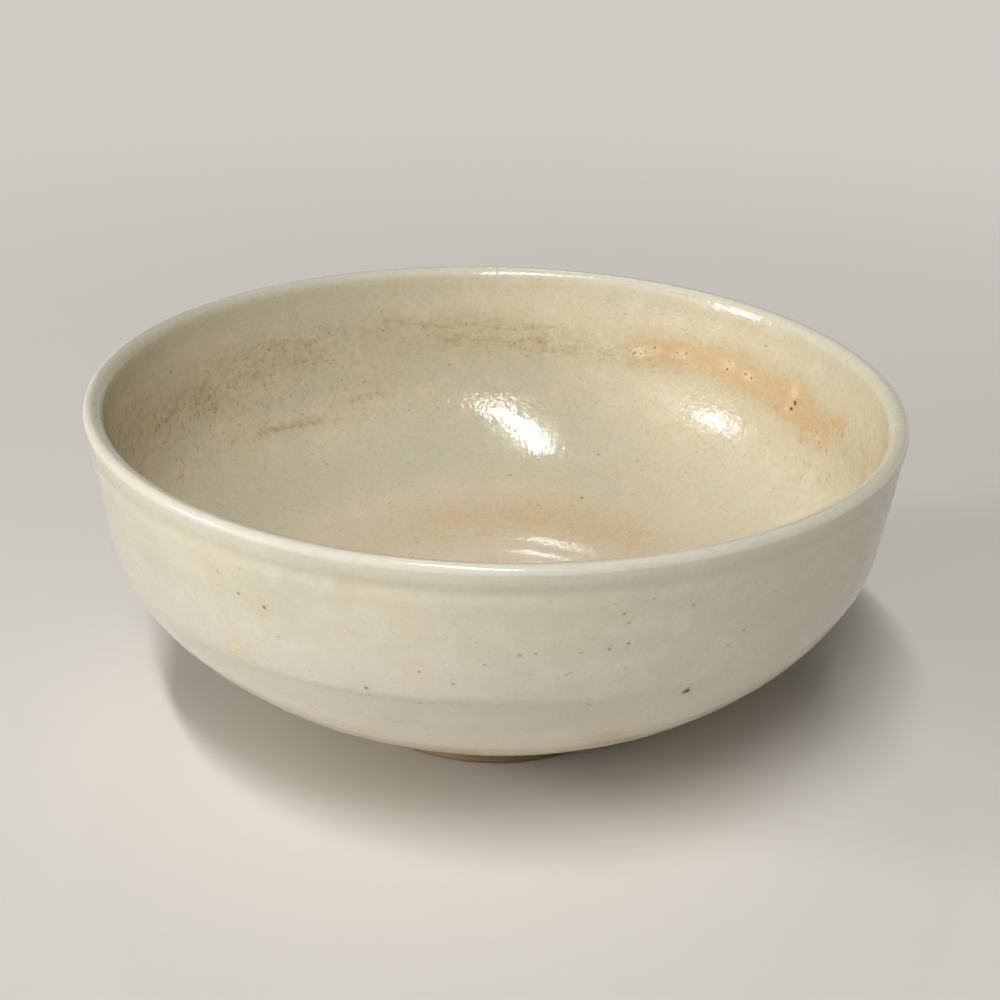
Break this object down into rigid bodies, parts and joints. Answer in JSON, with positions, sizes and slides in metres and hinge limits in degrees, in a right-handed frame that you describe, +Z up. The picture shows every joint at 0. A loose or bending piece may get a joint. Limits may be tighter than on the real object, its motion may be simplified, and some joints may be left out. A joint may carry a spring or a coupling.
{
  "type": "matcha bowl",
  "caption": "Wide, low ceramic tea bowl: thrown wall with a rounded lip and a soft hip, glazed inside and out, on a bare turned foot ring",
  "frame": {"origin": "middle of the plane that the foot ring stands on, on the bowl's axis", "axes": "+Z up along the bowl's axis of turning; +X and +Y level"},
  "size_m": [0.15, 0.15, 0.065],
  "materials": {
    "body_clay": "matt, unglazed",
    "foot_clay": "matt, unglazed",
    "inner_glaze": "satin gloss",
    "outer_glaze": "satin gloss"
  },
  "bodies": {
    "root": {"clay_body": "body_clay", "foot_ring": "foot_clay", "inner_glaze": "inner_glaze", "outer_glaze": "outer_glaze"}
  },
  "joints": []
}
